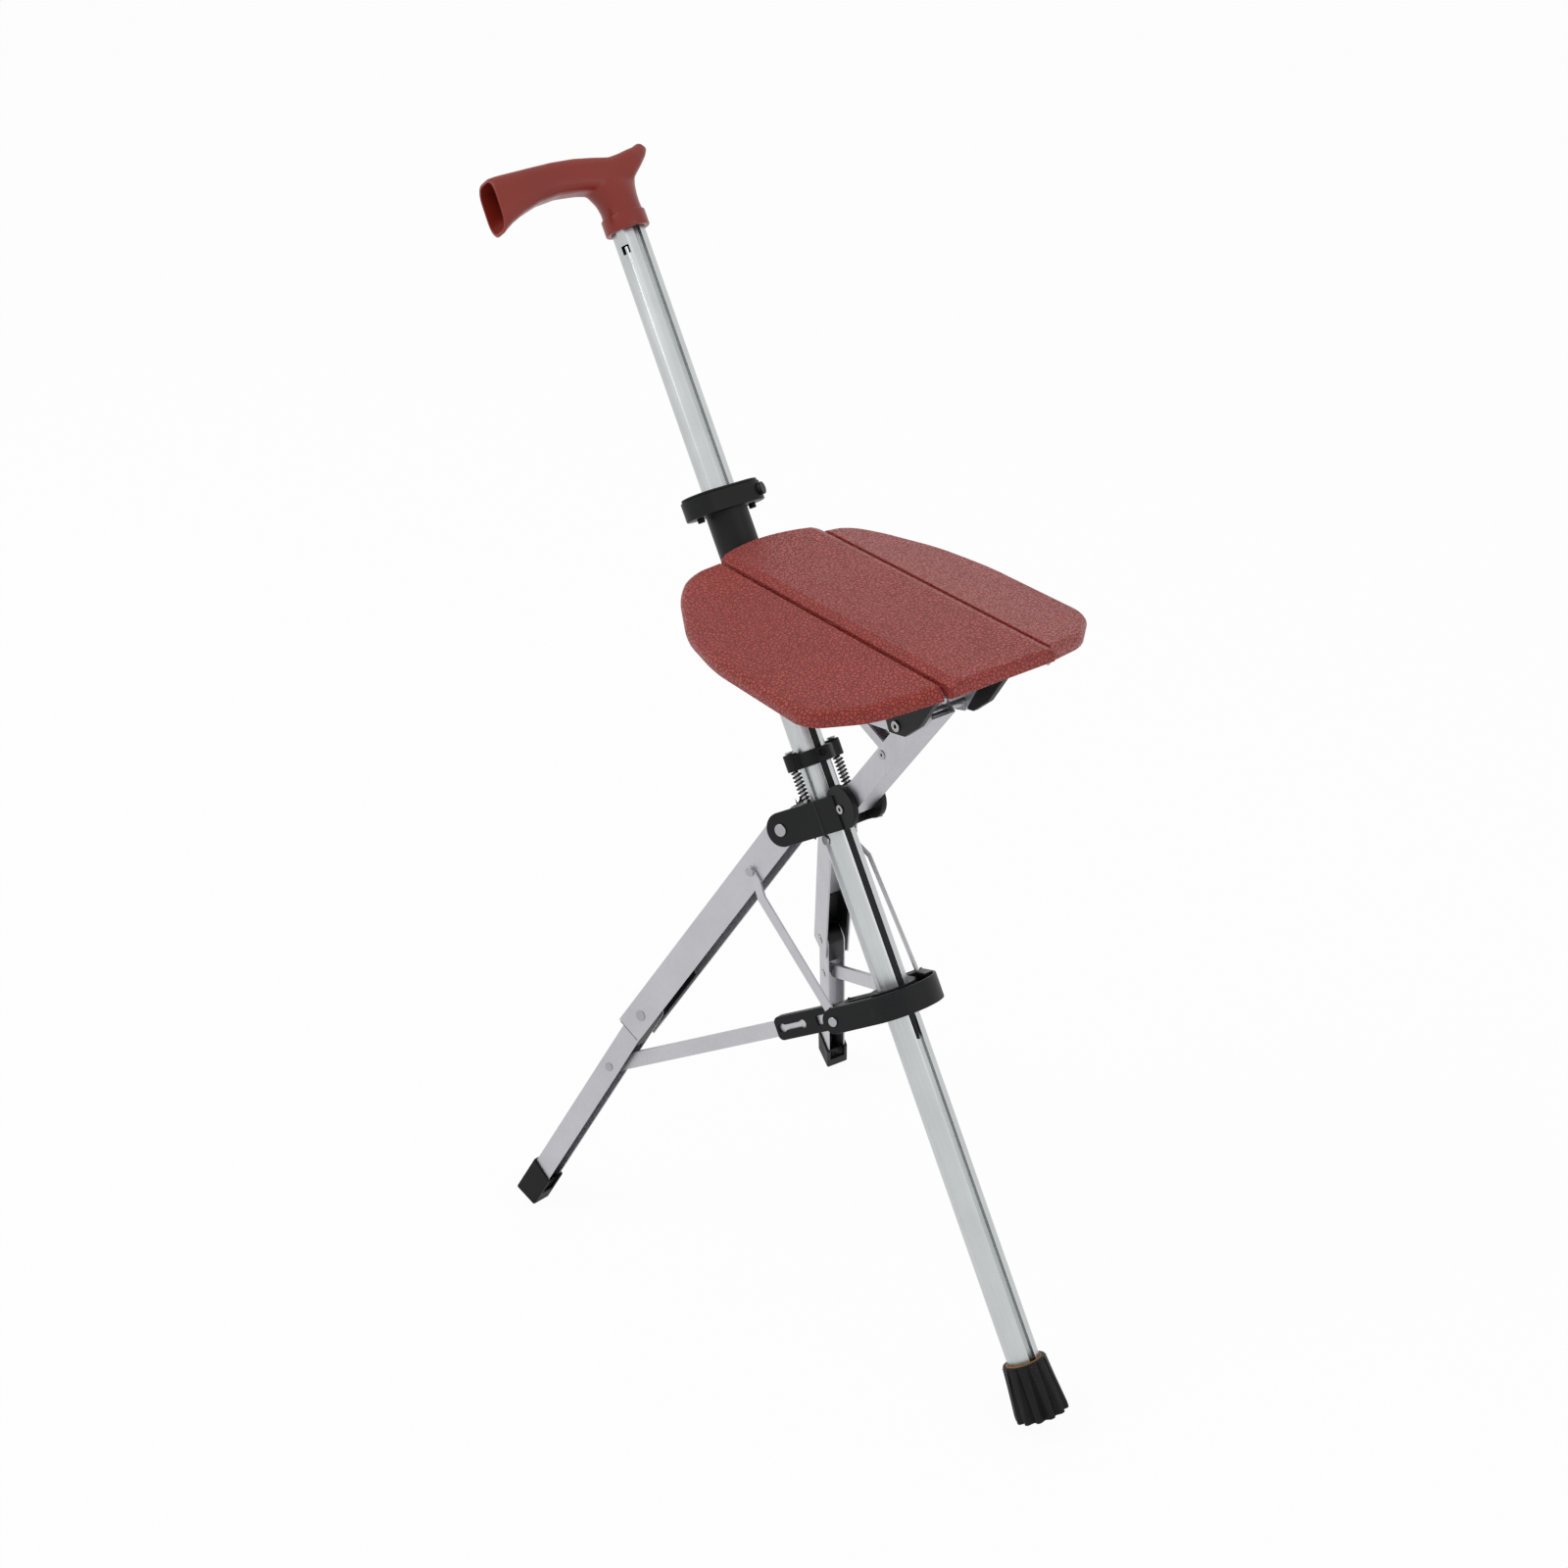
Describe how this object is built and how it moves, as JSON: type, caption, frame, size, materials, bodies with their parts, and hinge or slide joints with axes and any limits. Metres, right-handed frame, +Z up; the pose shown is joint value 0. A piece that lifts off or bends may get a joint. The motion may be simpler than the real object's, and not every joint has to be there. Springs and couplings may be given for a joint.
{
  "type": "folding walking stick seat",
  "caption": "Walking stick with a derby grip that opens into a small tripod stool: panelled folding seat, sliding collars, linked legs that fold up along the stick.",
  "frame": {"origin": "middle of the bounding box on the floor plane, seat open", "axes": "+X forward as the sitter faces, +Y to the sitter's left, +Z up"},
  "size_m": [0.4961, 0.3032, 0.7419],
  "materials": {
    "anodised_tube": "satin anodised",
    "handle_plastic": "glossy with fine grain",
    "rubber": "matt",
    "tan_band": "satin",
    "black_plastic": "fine satin",
    "steel": "bright",
    "spring_steel": "black",
    "seat_plastic": "pebbled leather grain",
    "leg_metal": "satin"
  },
  "bodies": {
    "cane": {"stick_tube": "anodised_tube", "handle": "handle_plastic", "ferrule": "rubber", "ferrule_band": "tan_band", "hub": "black_plastic", "hub_cross_pin": "steel", "leg_pivot_rivets": "steel", "strut_pivot_pin": "steel", "spring_rods": "steel", "release_spring_right": "spring_steel", "release_spring_left": "spring_steel"},
    "release": {"spring_collar": "black_plastic", "collar_screw": "spring_steel", "release_strip": "black_plastic"},
    "slider": {"slide_collar": "black_plastic", "collar_plate": "black_plastic", "collar_knob": "black_plastic", "collar_screws": "spring_steel"},
    "seat": {"seat_middle_panel": "seat_plastic", "seat_rail": "leg_metal", "seat_block": "black_plastic", "block_rivets": "steel", "rail_screws": "steel", "wing_hinge_pins": "steel", "seat_hinge_pin": "steel"},
    "wing_right": {"seat_wing_right": "seat_plastic"},
    "wing_left": {"seat_wing_left": "seat_plastic"},
    "strut": {"strut": "leg_metal", "strut_top_pin": "steel", "stay_rivet": "steel"},
    "stay": {"stay": "leg_metal"},
    "ring": {"slide_ring": "black_plastic", "ring_rivets": "steel"},
    "upper_leg_right": {"upper_leg_right": "leg_metal", "knee_liner_right": "black_plastic", "knee_rivet_right": "steel"},
    "lower_leg_right": {"lower_leg_right": "leg_metal", "knee_block_right": "black_plastic", "foot_cap_right": "rubber", "bar_rivets_right": "steel"},
    "bent_link_right": {"bent_link_right": "leg_metal", "link_rivet_right": "steel"},
    "link_bar_right": {"link_bar_right": "leg_metal", "bar_sheath_right": "black_plastic"},
    "upper_leg_left": {"upper_leg_left": "leg_metal", "knee_liner_left": "black_plastic", "knee_rivet_left": "steel"},
    "lower_leg_left": {"lower_leg_left": "leg_metal", "knee_block_left": "black_plastic", "foot_cap_left": "rubber", "bar_rivets_left": "steel"},
    "bent_link_left": {"bent_link_left": "leg_metal", "link_rivet_left": "steel"},
    "link_bar_left": {"link_bar_left": "leg_metal", "bar_sheath_left": "black_plastic"}
  },
  "joints": [
    {"name": "collar_slide", "type": "slide", "parent": "cane", "child": "slider", "axis": [-0.5461, 0, 0.8377], "range_m": [0, 0.12179]},
    {"name": "release_slide", "type": "slide", "parent": "cane", "child": "release", "axis": [0.5461, 0, -0.8377], "range_m": [0, 0.008], "stiffness_N_per_m": 250, "springref_m": -0.004, "deforming": ["release_spring_right", "release_spring_left"]},
    {"name": "seat_hinge", "type": "hinge", "parent": "slider", "child": "seat", "pos_m": [-0.0509, 0, 0.51259], "axis": [0, 1, 0], "range_deg": [0, 44.9]},
    {"name": "wing_hinge_right", "type": "hinge", "parent": "seat", "child": "wing_right", "pos_m": [-0.0589, -0.04, 0.51869], "axis": [1, 0, 0], "range_deg": [0, 79]},
    {"name": "wing_hinge_left", "type": "hinge", "parent": "seat", "child": "wing_left", "pos_m": [-0.0589, 0.04, 0.51869], "axis": [-1, 0, 0], "range_deg": [0, 79]},
    {"name": "strut_hinge", "type": "hinge", "parent": "cane", "child": "strut", "pos_m": [0.03173, 0, 0.3804], "axis": [0, -1, 0], "range_deg": [0, 70.08]},
    {"name": "stay_hinge", "type": "hinge", "parent": "strut", "child": "stay", "pos_m": [0.06592, 0, 0.43349], "axis": [0, 1, 0], "range_deg": [0, 100.37]},
    {"name": "ring_slide", "type": "slide", "parent": "cane", "child": "ring", "axis": [-0.5461, 0, 0.8377], "range_m": [0, 0.05841]},
    {"name": "leg_hinge_right", "type": "hinge", "parent": "cane", "child": "upper_leg_right", "pos_m": [-0.01104, -0.01961, 0.3506], "axis": [-0.3002, 0.9336, -0.1957], "range_deg": [0, 115.9]},
    {"name": "knee_hinge_right", "type": "hinge", "parent": "upper_leg_right", "child": "lower_leg_right", "pos_m": [-0.09414, -0.08157, 0.18249], "axis": [0.3002, -0.9336, 0.1957], "range_deg": [0, 167.38]},
    {"name": "link_hinge_right", "type": "hinge", "parent": "ring", "child": "bent_link_right", "pos_m": [0.05388, -0.02219, 0.2387], "axis": [-0.3002, 0.9336, -0.1957], "range_deg": [0, 17.73]},
    {"name": "bar_hinge_right", "type": "hinge", "parent": "ring", "child": "link_bar_right", "pos_m": [0.05388, -0.02219, 0.2387], "axis": [-0.3002, 0.9336, -0.1957], "range_deg": [0, 86.66]},
    {"name": "leg_hinge_left", "type": "hinge", "parent": "cane", "child": "upper_leg_left", "pos_m": [-0.01104, 0.01961, 0.3506], "axis": [0.3002, 0.9336, 0.1957], "range_deg": [0, 115.9]},
    {"name": "knee_hinge_left", "type": "hinge", "parent": "upper_leg_left", "child": "lower_leg_left", "pos_m": [-0.09414, 0.08157, 0.18249], "axis": [-0.3002, -0.9336, -0.1957], "range_deg": [0, 167.38]},
    {"name": "link_hinge_left", "type": "hinge", "parent": "ring", "child": "bent_link_left", "pos_m": [0.05388, 0.02219, 0.2387], "axis": [0.3002, 0.9336, 0.1957], "range_deg": [0, 17.73]},
    {"name": "bar_hinge_left", "type": "hinge", "parent": "ring", "child": "link_bar_left", "pos_m": [0.05388, 0.02219, 0.2387], "axis": [0.3002, 0.9336, 0.1957], "range_deg": [0, 86.66]}
  ],
  "couplings": [
    {"joint": "seat_hinge", "follows": "collar_slide", "rad_per_m": 6.4317},
    {"joint": "wing_hinge_right", "follows": "collar_slide", "rad_per_m": 11.319},
    {"joint": "wing_hinge_left", "follows": "collar_slide", "rad_per_m": 11.319},
    {"joint": "strut_hinge", "follows": "collar_slide", "rad_per_m": 10.041},
    {"joint": "stay_hinge", "follows": "collar_slide", "rad_per_m": 14.381},
    {"joint": "ring_slide", "follows": "collar_slide", "ratio": 0.47951},
    {"joint": "leg_hinge_right", "follows": "collar_slide", "rad_per_m": 16.607},
    {"joint": "knee_hinge_right", "follows": "collar_slide", "rad_per_m": 23.984},
    {"joint": "link_hinge_right", "follows": "collar_slide", "rad_per_m": 2.5382},
    {"joint": "bar_hinge_right", "follows": "collar_slide", "rad_per_m": 12.416},
    {"joint": "leg_hinge_left", "follows": "collar_slide", "rad_per_m": 16.607},
    {"joint": "knee_hinge_left", "follows": "collar_slide", "rad_per_m": 23.984},
    {"joint": "link_hinge_left", "follows": "collar_slide", "rad_per_m": 2.5382},
    {"joint": "bar_hinge_left", "follows": "collar_slide", "rad_per_m": 12.416}
  ]
}
